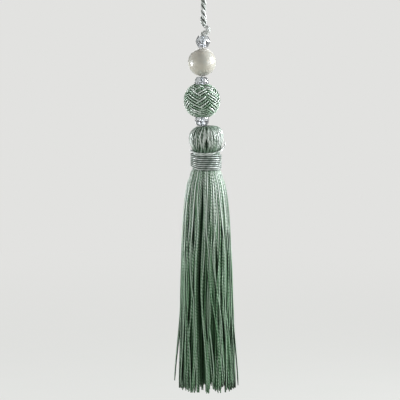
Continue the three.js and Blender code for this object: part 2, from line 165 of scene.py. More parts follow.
def smooth_route(points, step):
    """A curve that passes smoothly through the points, cut into even steps."""
    fine_steps = 40
    points = np.array(points, float)
    padded = np.vstack([2 * points[0] - points[1], points, 2 * points[-1] - points[-2]])
    share = np.linspace(0, 1, fine_steps, endpoint=False)[:, None]
    pieces = []
    for before, start, end, after in zip(padded, padded[1:], padded[2:], padded[3:]):
        first, middle, last = (
            np.linalg.norm(b - a) ** 0.5 for a, b in ((before, start), (start, end), (end, after))
        )
        leave = (start - before) / first - (end - before) / (first + middle) + (end - start) / middle
        arrive = (end - start) / middle - (after - start) / (middle + last) + (after - end) / last
        rise = smoothstep(0, 1, share)
        pieces.append(
            start * (1 - rise) + end * rise
            + leave * middle * share * (1 - share) ** 2 - arrive * middle * share**2 * (1 - share)
        )
    fine = np.vstack([*pieces, points[-1:]])
    distance = along_route(fine)
    even = np.linspace(0, distance[-1], max(2, round(distance[-1] / step) + 1))
    return np.stack([np.interp(even, distance, axis) for axis in fine.T], 1)


def along_route(route):
    """Distance along a route at each of its points."""
    return np.concatenate([[0], np.cumsum(np.linalg.norm(np.diff(route, axis=0), axis=1))])


def wander(random, share, waves=3):
    """A slow random line of about -1 to 1, at each share of its length."""
    total = np.zeros_like(share)
    for wave in range(1, waves + 1):
        total += np.sin(FULL_TURN * (wave * share * random.uniform(0.5, 1) + random.random())) / wave
    return total / 1.5


class Threads:
    """Gathers round threads into one mesh, with what the thread finishes read at each point."""

    def __init__(self):
        self.points, self.strands, self.tones, self.faces, self.finishes = [], [], [], [], []
        self.count = 0

    def add_surface(self, points, faces, strands, tone, finish):
        self.points.append(points)
        self.strands.append(strands)
        self.tones.append(np.full(len(points), tone))
        self.faces.extend([corner + self.count for corner in face] for face in faces)
        self.finishes.extend([finish] * len(faces))
        self.count += len(points)

    def add(
        self, route, radius, outwards, sides=8, tone=0.5, lobes=None, closed=False, start=0, slack=1,
        finish=0,
    ):
        """A thread along a route. outwards is where its angle zero points, the side its silk finish
        paints lit.

        lobes is how many plies it has, the length of their turn and how deep they are. start is where
        on its twist it begins, and slack how much looser it is twisted than others of its kind.
        """
        steps = len(route)
        ahead = np.roll(route, -1, 0) - np.roll(route, 1, 0) if closed else np.gradient(route, axis=0)
        along = unit(ahead)
        outwards = np.broadcast_to(outwards, (steps, 3))
        away = unit(outwards - (outwards * along).sum(1, keepdims=True) * along)
        across = np.cross(along, away)
        distance = along_route(route) / slack + start
        angle = FULL_TURN * np.arange(sides) / sides
        wall = np.broadcast_to(radius, steps)[:, None] * np.ones(sides)
        if lobes:
            plies, lay, depth = lobes
            turn = angle + FULL_TURN * distance[:, None] / lay
            wall = wall * (1 - depth + depth * np.abs(np.cos(plies / 2 * turn)))
        ring = np.cos(angle)[:, None] * away[:, None] + np.sin(angle)[:, None] * across[:, None]
        points = (route[:, None] + wall[..., None] * ring).reshape(-1, 3)
        strands = np.empty((steps, sides, 3))
        strands[..., 0], strands[..., 1] = np.cos(angle), np.sin(angle)
        strands[..., 2] = distance[:, None]
        strands = strands.reshape(-1, 3)
        rows = np.arange(steps if closed else steps - 1)[:, None]
        column = np.arange(sides)[None, :]
        following = (rows + 1) % steps
        beside = (column + 1) % sides
        quads = np.stack([
            rows * sides + column, rows * sides + beside,
            following * sides + beside, following * sides + column,
        ], -1).reshape(-1, 4).tolist()
        if not closed:
            tips = [route[0] - along[0] * wall[0, 0] * 0.5, route[-1] + along[-1] * wall[-1, 0] * 0.5]
            points = np.vstack([points, tips])
            strands = np.vstack([strands, [[1, 0, start], [1, 0, distance[-1]]]])
            first, last = steps * sides, (steps - 1) * sides
            quads += [[first, (j + 1) % sides, j] for j in range(sides)]
            quads += [[first + 1, last + j, last + (j + 1) % sides] for j in range(sides)]
        self.add_surface(points, quads, strands, tone, finish)

    def add_turned(self, profile, centre, sides, finish):
        """A surface turned about an upright axis, from its top down. profile is radius and height."""
        profile = np.array(profile, float)
        angle = FULL_TURN * np.arange(sides) / sides
        points = np.empty((len(profile), sides, 3))
        points[..., 0] = centre[0] + profile[:, :1] * np.cos(angle)
        points[..., 1] = centre[1] + profile[:, :1] * np.sin(angle)
        points[..., 2] = centre[2] + profile[:, 1:]
        strands = np.empty_like(points)
        strands[..., 0], strands[..., 1] = np.cos(angle), np.sin(angle)
        strands[..., 2] = profile[:, 1:]
        faces = []
        for upper in range(0, (len(profile) - 1) * sides, sides):
            lower = upper + sides
            for i in range(sides):
                after = (i + 1) % sides
                faces.append([upper + i, lower + i, lower + after, upper + after])
        self.add_surface(points.reshape(-1, 3), faces, strands.reshape(-1, 3), 0.5, finish)

    def build(self, name, finishes):
        mesh = bpy.data.meshes.new(name)
        mesh.from_pydata((np.vstack(self.points) * MM).tolist(), [], self.faces)
        strands = mesh.attributes.new("strand", "FLOAT_VECTOR", "POINT")
        strands.data.foreach_set("vector", np.vstack(self.strands).astype(np.float32).ravel())
        tones = mesh.attributes.new("tone", "FLOAT", "POINT")
        tones.data.foreach_set("value", np.concatenate(self.tones).astype(np.float32))
        mesh.polygons.foreach_set("material_index", self.finishes)
        mesh.shade_smooth()
        return add_piece(name, mesh, finishes)


def add_object(name, data):
    thing = bpy.data.objects.new(name, data)
    bpy.context.scene.collection.objects.link(thing)
    return thing


def add_piece(name, mesh, finishes):
    """An object of the pendant, which rides on its one body."""
    for finish in finishes:
        mesh.materials.append(finish)
    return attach(add_object(name, mesh), "root")


# Finishes


def math_node(operation):
    """One of Python's operators, as a Math node on a value."""
    return lambda value, *others: value.math(operation, *others)


class Value:
    """A socket that gives a number. Python's operators on it add Math nodes."""

    __add__ = __radd__ = math_node("ADD")
    __sub__ = math_node("SUBTRACT")
    __mul__ = __rmul__ = math_node("MULTIPLY")
    __truediv__ = math_node("DIVIDE")
    __pow__ = math_node("POWER")
    __abs__ = math_node("ABSOLUTE")

    def __init__(self, finish, socket):
        self.finish, self.socket = finish, socket

    def __rsub__(self, other):
        return self * -1 + other

    def math(self, operation, *others):
        sockets = dict(enumerate([self, *others]))
        return self.finish.node("Math", sockets, {"operation": operation})

    def step(self, low, high):
        """0 below low and 1 above high, smooth in between."""
        share = {"Value": self, "From Min": low, "From Max": high}
        return self.finish.node("MapRange", share, {"interpolation_type": "SMOOTHSTEP"})


def find_socket(sockets, key):
    """A socket by its place, or the one in use that has the name."""
    if isinstance(key, int):
        return sockets[key]
    return next(s for s in sockets if key in (s.name, s.identifier) and s.enabled)


class Finish:
    """A material or world, built from nodes."""

    def __init__(self, name, kind="materials"):
        self.holder = getattr(bpy.data, kind).new(name)
        self.holder.use_nodes = True
        self.tree = self.holder.node_tree
        self.tree.nodes.clear()

    def node(self, kind, sockets=None, settings=None, output=0):
        """Adds a node: its settings first, then its sockets' values or links."""
        node = self.tree.nodes.new(f"ShaderNode{kind}")
        for key, setting in (settings or {}).items():
            setattr(node, key, setting)
        for key, given in (sockets or {}).items():
            socket = find_socket(node.inputs, key)
            if isinstance(given, Value):
                self.tree.links.new(given.socket, socket)
            else:
                socket.default_value = given
        if not node.outputs:
            return None
        return Value(self, find_socket(node.outputs, output))

    def attribute(self, name, output):
        return self.node("Attribute", None, {"attribute_name": name}, output)

    def strand(self):
        """Where a point is on its thread: outwards and sideways from its middle, and along it."""
        return self.parts(self.attribute("strand", "Vector"))

    def place(self, output="Object"):
        return self.node("TexCoord", output=output)

    def parts(self, vector):
        return [self.node("SeparateXYZ", {0: vector}, output=axis) for axis in range(3)]

    def vector(self, x, y, z):
        return self.node("CombineXYZ", {0: x, 1: y, 2: z})

    def noise(self, vector, scale, detail=2.0, roughness=0.5):
        sockets = {"Vector": vector, "Scale": scale, "Detail": detail, "Roughness": roughness}
        return self.node("TexNoise", sockets)

    def mix(self, first, second, factor):
        """A colour between two, by a factor."""
        first, second = (c if isinstance(c, Value) else (*c[:3], 1) for c in (first, second))
        sockets = {"Factor_Float": factor, "A_Color": first, "B_Color": second}
        return self.node("Mix", sockets, {"data_type": "RGBA"}, "Result_Color")

    def bump(self, height, distance):
        return self.node("Bump", {"Height": height, "Distance": distance, "Strength": 1.0})

    def principled(self, sockets):
        shader = self.node("BsdfPrincipled", sockets)
        self.node("OutputMaterial", {"Surface": shader})
        return self.holder


def shade(colour, amount):
    """A colour made darker, and greener as a deep fold of silk is."""
    red, green, blue = colour
    return (red * amount * 0.86, green * amount, blue * amount * 0.88)


def silk(
    name, colour, plies, lay, depth, pale, relief=0.05, roughness=0.3, lit=(-0.35, 0.5), twist=0.5,
    lower_shade=None, highlight_band=None, slub=0.13,
):
    """Twisted silk thread: round plies and fibres along them, with painted highlights that stand in for
    its glints, and painted shade on its sides where threads meet and between its plies.

    depth is the brightness of its painted shaded sides, pale how near white its painted highlights
    are, relief its bump in millimetres, lit where round it the painted lit side starts and ends, and
    twist how much the painted shade between the plies shows. lower_shade is the heights between which
    it loses its painted highlights, and how much painted shade darkens it below them. highlight_band
    is the middle and half height of the one band where its painted highlights are strongest, and slub
    how short its uneven stretches are.
    """
    finish = Finish(name)
    across, around, along = finish.strand()
    tone = finish.attribute("tone", "Fac")
    turn = around.math("ARCTAN2", across) + along * (FULL_TURN / lay)
    crest = abs((turn * (plies / 2)).math("COSINE"))
    ring = 3.2
    fibres = finish.noise(finish.vector(
        turn.math("COSINE") * ring, turn.math("SINE") * ring + tone * 40, along * 0.35 + tone * 90
    ), 2.6, 3.0, 0.65)
    slubs = finish.noise(finish.vector(tone * 50, 0, along * slub), 1.0)
    # Painted shade between the plies, full brightness on their crests.
    bead = crest.step(0.15, 1) * twist + (1 - twist)
    # Brightness that varies at random along the fibres and slubs and with each thread's tone; a low tone
    # also paints shade on threads set deeper in.
    painted_lustre = fibres * 0.5 + slubs * 0.5 + tone * 0.8 - 0.45
    body = finish.mix(shade(colour, 0.3), colour, painted_lustre.step(0, 0.8) * bead)
    # Painted highlights: glints on the ply crests, the fibres and the brighter threads.
    glint = (bead * 0.8 + fibres * 0.5 + slubs * 1.3 + tone * 0.7 - 1.7).step(0, 0.8)
    glint_colour = tuple(c + (0.87 * (c / max(colour)) ** 0.08 - c) * pale for c in colour)
    # The painted highlights lie only on the thread's outward side.
    glint = glint * across.step(lit[1] - 0.6, lit[1])
    height = finish.parts(finish.place())[2]
    # Painted highlights strongest in one band of height.
    if highlight_band:
        away = abs((height - highlight_band[0]) / highlight_band[1])
        glint = glint * (1 - away.step(0.4, 1) * 0.75)
    # Painted shade towards the bottom, with weaker painted highlights there.
    if lower_shade:
        low = (height * -1).step(-lower_shade[0], -lower_shade[1])
        body = finish.mix(body, shade(colour, 0.3), low * lower_shade[2])
        glint = glint * (1 - low * 0.6)
    light = finish.mix(body, glint_colour, glint)
    relief_height = crest**0.6 + fibres * 0.4
    return finish.principled({
        # Painted shade on the thread's sides, away from its outward side.
        "Base Color": finish.mix(shade(colour, depth), light, across.step(*lit)),
        "Roughness": roughness + (0.5 - fibres) * 0.3,
        "Metallic": 0.15,
        "Specular IOR Level": 0.6,
        "Normal": finish.bump(relief_height, relief * MM),
    })


def shaded_deep_silk(name, colour):
    """The thread that shows only in the gaps between others, painted dark as the shade in those gaps."""
    finish = Finish(name)
    across, around, along = finish.strand()
    streaks = finish.noise(finish.vector(across * 9, around * 9, along * 0.2), 3.0)
    return finish.principled({
        "Base Color": finish.mix(shade(colour, 0.12), shade(colour, 0.4), streaks),
        "Roughness": 0.62,
        "Normal": finish.bump(streaks, 0.15 * MM),
    })


def pearl_coat(name, colour):
    """A thick pearly coat over a bead: soft clouds of colour and faint ripples below a gloss."""
    finish = Finish(name)
    clouds = finish.noise(finish.place(), 210.0, 3.0, 0.6)
    ripples = finish.noise(finish.place(), 900.0)
    warm = tuple(min(1, c * k) for c, k in zip(colour, (1.03, 1.0, 0.93)))
    cool = tuple(min(1, c * k) for c, k in zip(colour, (0.93, 0.96, 0.94)))
    return finish.principled({
        "Base Color": finish.mix(cool, warm, clouds.step(0.3, 0.7)),
        "Roughness": 0.36 + (ripples - 0.5) * 0.06,
        "Subsurface Weight": 0.1,
        "Subsurface Radius": (1.0, 0.9, 0.8),
        "Subsurface Scale": 4 * MM,
        "Coat Weight": 0.9 + (clouds - 0.5) * 0.2,
        "Coat Roughness": 0.27,
        "Normal": finish.bump(clouds + ripples * 0.15, 0.012 * MM),
    })


def cut_glass(name, colour):
    """Polished glass with faint polishing marks on its facets."""
    finish = Finish(name)
    marks = finish.noise(finish.place(), 1400.0)
    return finish.principled({
        "Base Color": finish.mix(shade(colour, 0.93), colour, marks),
        "Roughness": 0.015 + marks * 0.03,
        "IOR": 1.54,
        "Transmission Weight": 0.94,
        "Specular IOR Level": 0.6,
        "Normal": finish.bump(marks, 0.004 * MM),
    })


# Stage


def aim(thing, target):
    thing.rotation_euler = (Vector(target) - thing.location).to_track_quat("-Z", "Y").to_euler()


def add_softbox(name, bearing, height, distance, size, power, colour=(1, 1, 1)):
    """A soft light at a bearing right of the front in degrees, aimed at the pendant's middle."""
    light = bpy.data.lights.new(name, "AREA")
    light.shape, light.size, light.size_y = "RECTANGLE", size[0], size[1]
    light.energy, light.color = power, colour
    softbox = add_object(name, light)
    turn = math.radians(bearing)
    softbox.location = (distance * math.sin(turn), -distance * math.cos(turn), height)
    softbox.visible_camera = False
    aim(softbox, (0, 0, -0.06))


class TASSEL_OT_stage(Operator):
    """Set up the camera, the soft lights and the plain pale floor"""

    bl_idname = "tassel.stage"
    bl_label = "Stage and Camera"

    COOL = (0.94, 0.96, 1)
    # Name, bearing, height, distance, width and height, power and any colour.
    SOFTBOXES = (
        ("softbox_right", 96, 0.015, 0.24, (0.08, 0.11), 1.05, COOL),
        ("softbox_left", -96, -0.07, 0.27, (0.05, 0.09), 0.4, COOL),
        ("softbox_front_right", 58, -0.04, 0.6, (0.18, 0.22), 0.9),
        ("softbox_front_left", -58, -0.14, 0.6, (0.3, 0.35), 0.54),
        ("softbox_back", 180, 0.3, 0.8, (0.6, 0.3), 1.2),
    )
    # The narrow lights that the facets and threads glint in: bearings, heights and what they share.
    STRIPS = ((148, 0.02), (-152, -0.1), (118, 0.12), (-124, 0.1), (36, 0.16), (-30, 0.2))
    STRIP = {"distance": 0.5, "size": (0.025, 0.14), "power": 0.06}

    def execute(self, context):
        colour = context.scene.tassel_colours.floor
        target = Vector((-1.46, 0, -97.7)) * MM
        distance, elevation = 0.9, math.radians(4)
        camera = add_object("camera", bpy.data.cameras.new("camera"))
        camera.location = target + distance * Vector((0, -math.cos(elevation), math.sin(elevation)))
        camera.data.lens = 189
        camera.data.clip_start, camera.data.clip_end = 0.05, 60
        aim(camera, target)
        context.scene.camera = camera
        context.scene.view_settings.view_transform = "Standard"

        half, height = 9, -0.195
        floor = bpy.data.meshes.new("floor")
        corners = [(-half, -half, 0), (half, -half, 0), (half, half, 0), (-half, half, 0)]
        floor.from_pydata(corners, [], [(0, 1, 2, 3)])
        piece = add_object("floor", floor)
        piece.location.z = height
        floor.materials.append(self.floor_finish(colour))
        self.set_surroundings(context.scene, colour)
        for softbox in self.SOFTBOXES:
            add_softbox(*softbox)
        for bearing, height in self.STRIPS:
            add_softbox("strip", bearing, height, **self.STRIP)
        return {"FINISHED"}

    def floor_finish(self, colour):
        """Partly lit near the pendant and even further off, so that it meets the surroundings unseen.

        What it sends up to the pendant is a dim and even light.
        """
        finish = Finish("pale_floor")
        place = finish.place()
        reach = finish.node("VectorMath", {0: place}, {"operation": "LENGTH"}, "Value")
        grain = finish.noise(place, 40.0)
        paint = finish.mix(shade(colour, 0.97), colour, grain)
        lit = finish.node("BsdfDiffuse", {"Color": paint})
        even = finish.node("Emission", {"Color": (*colour, 1), "Strength": 1.0})
        share = reach.step(0.1, 0.8) * 0.12 + 0.88
        seen = finish.node("MixShader", {0: share, 1: lit, 2: even})
        dim = finish.node("Emission", {"Color": (0.98, 1, 0.96, 1), "Strength": 0.64})
        straight = finish.node("LightPath", output="Is Camera Ray")
        surface = finish.node("MixShader", {0: straight, 1: dim, 2: seen})
        finish.node("OutputMaterial", {"Surface": surface})
        return finish.holder

    def set_surroundings(self, scene, colour):
        """Pale where the camera sees it. As a light it is bright above and dim round the sides."""
        sky = Finish("surroundings", "worlds")
        scene.world = sky.holder
        upwards = sky.parts(sky.place("Generated"))[2]
        glow = upwards.step(0.1, 0.95) * 0.4 + 0.1
        light = sky.node("Background", {"Color": (1, 1, 1, 1), "Strength": glow})
        seen = sky.node("Background", {"Color": (*colour, 1)})
        straight = sky.node("LightPath", output="Is Camera Ray")
        choice = sky.node("MixShader", {0: straight, 1: light, 2: seen})
        sky.node("OutputWorld", {"Surface": choice})


# Pieces


def ball_profile(radius, top, bottom, steps):
    """Radius and height down a ball, between two latitudes."""
    return [(radius * math.cos(a), radius * math.sin(a)) for a in np.linspace(top, bottom, steps)]


def across_route(route):
    """The directions sideways and backwards from a route, at each of its points."""
    along = unit(np.gradient(route, axis=0))
    side = unit(np.cross([0, 1, 0], along))
    return side, np.cross(along, side)


def add_rope(threads, route, sizes):
    """Three plies laid round a route, which thin out at its tip and end blunt at its tail."""
    plies, reach = 3, 0.63
    distance = along_route(route)
    ply_radius, lay = sizes.ply_radius / MM, sizes.hanger_lay / MM
    side, back = across_route(route)
    tip = 0.2 + 0.8 * smoothstep(0, 2.2, distance)
    tail = 0.55 + 0.45 * smoothstep(0, 1.6, distance[-1] - distance)
    splay = 1 + 0.25 * np.exp(-((distance - 3.6) / 1.7) ** 2)
    spread = (tip * tail * splay)[:, None]
    for ply in range(plies):
        turn = (FULL_TURN * ply / plies - FULL_TURN * distance / lay)[:, None]
        away = np.cos(turn) * side + np.sin(turn) * back
        threads.add(
            route + reach * spread * away, ply_radius * spread[:, 0], away, sides=14,
            tone=0.5 + 0.15 * ply, lobes=(3, LAY["hanger"], 0.16),
        )


class TASSEL_OT_hanger(Operator):
    """Make the twisted hanger with its loop, its whipping and the curl on the top bead"""

    bl_idname = "tassel.hanger"
    bl_label = "Hanger"

    WHIPPING_X = -1.3

    def execute(self, context):
        sizes, colours = chosen(context)
        threads = Threads()
        rope = smooth_route(ROPE_ROUTE, 0.3)
        add_rope(threads, rope, sizes)
        curl = smooth_route(CURL_ROUTE, 0.22)
        self.add_curl(threads, curl)
        self.add_whipping(threads)
        piece = threads.build("hanger", [silk(
            "hanger_silk", colours.hanger_silk, 3, LAY["hanger"], relief=0.09, roughness=0.36, depth=0.1,
            pale=0.8, lit=(-0.2, 0.65), twist=0.3,
        )])
        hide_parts("hanger_cord")
        return {"FINISHED"}

    def add_curl(self, threads, route):
        """One strand of loose fibres that spreads on the bead."""
        fibres = 11
        share = np.linspace(0, 1, len(route))
        body = 0.42 + 0.55 * smoothstep(0.05, 0.5, share) + 0.4 * smoothstep(0.7, 0.98, share)
        side, back = across_route(route)
        threads.add(route, body * 0.8, side, sides=14, tone=0.4, lobes=(4, 5, 0.1))
        for fibre in range(fibres):
            turn = (FULL_TURN * fibre / fibres - 2.8 * share)[:, None]
            away = np.cos(turn) * side + np.sin(turn) * back
            threads.add(
                route + (body * 0.86)[:, None] * away, 0.2 + 0.12 * share, away, sides=7,
                tone=0.45 + 0.6 * ((fibre * 0.37) % 1), lobes=(2, 1.6, 0.12),
            )

    def add_whipping(self, threads):
        """Thread wound round the standing part and the tail, and the block inside it."""
        turns, top, bottom = 6, -8.45, -10.75
        share = np.linspace(0, 1, 40 * turns)
        angle = FULL_TURN * turns * share
        route = np.stack([
            self.WHIPPING_X + 2.45 * np.cos(angle), 1.22 * np.sin(angle), bottom + (top - bottom) * share
        ], 1)
        away = np.stack([np.cos(angle), 2 * np.sin(angle), 0 * angle], 1)
        threads.add(route, 0.24, away, tone=0.6, lobes=(2, 1.3, 0.15))
        profile = [(0, -8.4), (2.2, -8.4), (2.3, -8.8), (2.3, -10.4), (2.2, -10.8), (0, -10.8)]
        block = Threads()
        block.add_turned(profile, (0, 0, 0), 24, 0)
        points = block.points[0] * (1, 0.5, 1) + (self.WHIPPING_X, 0, 0)
        threads.add_surface(points, block.faces, block.strands[0], 0.2, 0)


class TASSEL_OT_bead_thread(Operator):
    """Make the thread that carries the beads"""

    bl_idname = "tassel.bead_thread"
    bl_label = "Bead Thread"

    def execute(self, context):
        threads = Threads()
        route = smooth_route(THREAD_ROUTE, 0.3)
        lay = LAY["bead_thread"]
        threads.add(route, 0.34, (0, -1, 0), sides=10, tone=1.0, lobes=(3, lay, 0.14))
        colour = context.scene.tassel_colours.hanger_silk
        piece = threads.build("bead_thread_silk", [
            silk("bead_thread_silk", colour, 3, lay, roughness=0.34, depth=0.6, pale=0.9),
        ])
        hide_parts("bead_thread")
        return {"FINISHED"}


class TASSEL_OT_crystals(Operator):
    """Cut the three clear rondelles"""

    bl_idname = "tassel.crystals"
    bl_label = "Clear Rondelles"

    SIDES = 12
    # Radius, height as a share of the half height, and turn in sides, of each ring of corners.
    RINGS = (
        (BORE_RADIUS, 1, 0), (2.05, 1, 0), (2.8, 0.5, 0.5), (3.12, 0, 0),
        (2.8, -0.5, 0.5), (2.05, -1, 0), (BORE_RADIUS, -1, 0),
    )

    def execute(self, context):
        glass = cut_glass("clear_crystal", context.scene.tassel_colours.crystal)
        for node, cut in CRYSTALS.items():
            piece = add_piece(f"{node}_cut", self.cut(node, **cut), [glass])
            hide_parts(node)
        return {"FINISHED"}

    def cut(self, name, centre, half_height, turn):
        """Rings of corners joined by facets, and the bore between the end faces."""
        form = bmesh.new()
        corners = []
        for radius, height, offset in self.RINGS:
            angles = [turn + FULL_TURN * (i + offset) / self.SIDES for i in range(self.SIDES)]
            corners.append([form.verts.new([
                (centre[0] + radius * math.cos(angle)) * MM,
                (centre[1] + radius * math.sin(angle)) * MM,
                (centre[2] + height * half_height) * MM,
            ]) for angle in angles])
        for level, upper in enumerate(corners):
            below = (level + 1) % len(corners)
            lower = corners[below]
            step = self.RINGS[below][2] - self.RINGS[level][2]
            facets = [(0, 1, 2, 3)]
            if step > 0:
                facets = [(0, 1, 3), (3, 1, 2)]
            elif step < 0:
                facets = [(0, 1, 2), (0, 2, 3)]
            for i in range(self.SIDES):
                after = (i + 1) % self.SIDES
                around = (upper[i], lower[i], lower[after], upper[after])
                for facet in facets:
                    form.faces.new([around[corner] for corner in facet])
        bmesh.ops.recalc_face_normals(form, faces=form.faces)
        bmesh.ops.bevel(
            form, geom=form.edges[:], offset=0.05 * MM, segments=2, profile=0.5, affect="EDGES"
        )
        mesh = bpy.data.meshes.new(name)
        form.to_mesh(mesh)
        form.free()
        return mesh


class TASSEL_OT_pearl(Operator):
    """Make the bored pearl bead"""

    bl_idname = "tassel.pearl"
    bl_label = "Pearl Bead"

    def execute(self, context):
        radius = context.scene.tassel_sizes.pearl_radius / MM
        rim = math.acos(0.95 / radius)
        outside = ball_profile(radius, rim, -rim, 56)
        top = outside[0][1]
        wide = BORE_RADIUS + 0.04
        bore = [
            (wide, 0.05 - top), (BORE_RADIUS, 0.2 - top), (BORE_RADIUS, top - 0.2), (wide, top - 0.05)
        ]
        bead = Threads()
        bead.add_turned([*outside, *bore, outside[0]], PEARL_CENTRE, 72, 0)
        colour = context.scene.tassel_colours.pearl_coat
        piece = bead.build("pearl", [pearl_coat("pearl_coat", colour)])
        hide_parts("pearl_bead")
        return {"FINISHED"}


class TASSEL_OT_woven_ball(Operator):
    """Weave the ball: one long thread that follows itself over and under, round and round"""

    bl_idname = "tassel.woven_ball"
    bl_label = "Woven Ball"

    RADIUS = 7.18
    CORE_RADIUS = 6.75
    # Distance between threads that lie side by side.
    SPACING = 1.07
    ROUNDS, PEAKS, STEPS = 7, 5, 1180
    # Where the first peak is, how far its latitude reaches and how much it slants, in radians.
    FIRST_PEAK, REACH, SLANT = -1.466, 0.908, 0.19

    def execute(self, context):
        sizes, colours = chosen(context)
        threads = Threads()
        for number in range(sizes.ball_passes):
            route, out = self.weave((number - (sizes.ball_passes - 1) / 2) * self.SPACING)
            threads.add(
                route + BALL_CENTRE, sizes.ball_thread / MM, out, closed=True,
                tone=0.48 + 0.62 * ((number * 0.38) % 1), lobes=(2, LAY["ball"], 0.1),
            )
        # A core under the band, in shaded silk: painted shade where the gaps between its threads show.
        rim, top_hollow, bottom_hollow = 1.16, (2.5, 4.9), (2.5, -5.5)
        core = ball_profile(self.CORE_RADIUS, rim, -rim, 24)
        threads.add_turned([top_hollow, *core, bottom_hollow], BALL_CENTRE, 48, 1)
        finish = silk(
            "ball_silk", colours.ball_silk, 2, LAY["ball"], relief=0.07, depth=0.16, pale=1.15,
            lit=(0.05, 0.95), twist=0.2,
        )
        piece = threads.build("woven_ball_threads", [finish, shaded_deep_silk("ball_core", colours.ball_silk)])
        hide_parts("woven_ball")
        return {"FINISHED"}

    def weave(self, offset):
        """A thread of the band: five peaks in seven rounds, high and low at the crossings by turns."""
        bearing = FULL_TURN * self.ROUNDS * np.arange(self.STEPS) / self.STEPS
        swing = bearing * self.PEAKS / self.ROUNDS
        latitude = self.REACH * np.cos(swing)
        turned = self.FIRST_PEAK + bearing - self.SLANT * latitude
        out = np.stack([
            np.cos(latitude) * np.cos(turned), np.cos(latitude) * np.sin(turned), np.sin(latitude)
        ], 1)
        along = unit(np.roll(out, -1, 0) - np.roll(out, 1, 0))
        across = np.cross(out, along)
        tilt = offset / self.RADIUS
        place = unit(out * math.cos(tilt) + across * math.sin(tilt))
        over = np.tanh(2.2 * np.cos(self.ROUNDS * swing)) / math.tanh(2.2)
        rising = np.tanh(4 * np.sin(swing)) / math.tanh(4)
        return place * (self.RADIUS - 0.32 * over * rising)[:, None], place


def round_tassel(bearing, radius, height):
    """Places at a bearing and a radius from the tassel's middle line."""
    return np.stack([TASSEL_X + radius * np.cos(bearing), radius * np.sin(bearing), height], 1)


def head_point(reach, inset):
    """Radius and height on the head's outside, as far along its profile as reach says."""
    profile = smooth_route(HEAD_PROFILE, 0.35)
    distance = along_route(profile)
    slope = np.gradient(profile, axis=0)
    outward = unit(np.stack([-slope[:, 1], slope[:, 0]], 1))
    radius, height, out, up = (np.interp(reach, distance, line) for line in (*profile.T, *outward.T))
    return radius - inset * out, height - inset * up


def settle(points):
    """Tilts the head's top up to the right, and presses the bottom rondelle's dent into it."""
    tilt, flat, rise, edge = 0.045, 2.4, 0.75, 4.6
    points[:, 2] += tilt * (points[:, 0] - TASSEL_X) * smoothstep(-76.8, -70, points[:, 2])
    bead = CRYSTALS["crystal_bead_bottom"]
    x, y, z = bead["centre"]
    aside = np.hypot(points[:, 0] - x, points[:, 1] - y)
    bottom = z - bead["half_height"] - 2 * GAP
    dent = bottom + rise * np.maximum(aside - flat, 0)
    points[:, 2] = np.where(aside < edge, np.minimum(points[:, 2], dent), points[:, 2])
    return points


class TASSEL_OT_head(Operator):
    """Lay the bundles of thread that come out of the hole and wrap the tassel's head"""

    bl_idname = "tassel.head"
    bl_label = "Tassel Head"

    # Length of a thread from the hole to the skirt's root. How many lie inside, and how far in.
    LENGTH = 24.5
    INNER_THREADS, INNER_INSET = 44, 0.75

    def execute(self, context):
        sizes, colours = chosen(context)
        random = np.random.default_rng(31)
        threads = Threads()
        for bundle in range(sizes.head_bundles):
            middle = FULL_TURN * (bundle + random.uniform(-0.14, 0.14)) / sizes.head_bundles
            phase, swing = random.random(), random.uniform(0.03, 0.065)
            tone = random.uniform(0.75, 1.15)
            for place in (-1, 0, 1):
                own = tone + random.uniform(-0.7, 0.6)
                self.lay_thread(threads, random, middle, place, phase, swing, own)
        # The threads that lie inside get a low tone: painted shade.
        for _ in range(self.INNER_THREADS):
            bearing = random.uniform(0, FULL_TURN)
            phase = random.random()
            self.lay_thread(threads, random, bearing, 0, phase, 0.06, 0.2, self.INNER_INSET)
        # A core under the threads, in shaded silk: painted shade where the gaps between them show.
        profile = [(max(r - 1.15, 0), z - 1.2) for r, z in HEAD_PROFILE]
        base = Threads()
        base.add_turned(profile, (TASSEL_X, 0, 0), 52, 1)
        threads.add_surface(settle(base.points[0]), base.faces, base.strands[0], 0.4, 1)
        # Its painted highlights are strongest in a band round the head's widest part.
        finish = silk(
            "head_silk", colours.head_silk, 2, LAY["head"], relief=0.07, depth=0.01, pale=1.1,
            lit=(0.25, 1), twist=0.3, highlight_band=(-0.0709, 0.0056), slub=0.34,
        )
        piece = threads.build("tassel_head", [finish, shaded_deep_silk("head_core", colours.head_silk)])
        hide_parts("tassel")
        return {"FINISHED"}

    def lay_thread(self, threads, random, middle, place, phase, swing, tone, inset=0.3):
        """One of a bundle's three threads, at place -1, 0 or 1 across it."""
        spacing, waviness = 0.078, 8.5
        reach = np.linspace(0.9, self.LENGTH, 66)
        drift = 0.02 * wander(random, reach / self.LENGTH)
        wave = swing * np.sin(FULL_TURN * (reach / waviness + phase)) * smoothstep(4, 8, reach)
        gather = 1 - 0.25 * smoothstep(12, 17, reach)
        bearing = middle + spacing * place * gather + wave + drift
        rise = 0.14 * (1 - place * place) * smoothstep(3, 6, reach)
        rise = rise + 0.08 * wander(random, reach / self.LENGTH)
        radius, height = head_point(reach, inset - rise)
        radius = radius + 0.1 * np.sin(5 * bearing + 0.7) * smoothstep(3, 6, reach)
        points = round_tassel(bearing, radius, height)
        hole = 1 - smoothstep(0.5, 5.2, reach)
        points[:, 0] += (CRYSTALS["crystal_bead_bottom"]["centre"][0] - TASSEL_X) * hole
        points = settle(points)
        points[:, 2] -= 1.6 * (1 - smoothstep(0.6, 1.8, reach))
        thick = (0.16 + 0.2 * smoothstep(1.2, 5.5, reach)) * random.uniform(0.94, 1.1)
        out = np.stack([np.cos(bearing), np.sin(bearing), np.full_like(bearing, 0.35)], 1)
        threads.add(
            points, thick, out, sides=7, tone=tone, lobes=(2, LAY["head"], 0.1),
            start=random.uniform(0, 9),
        )


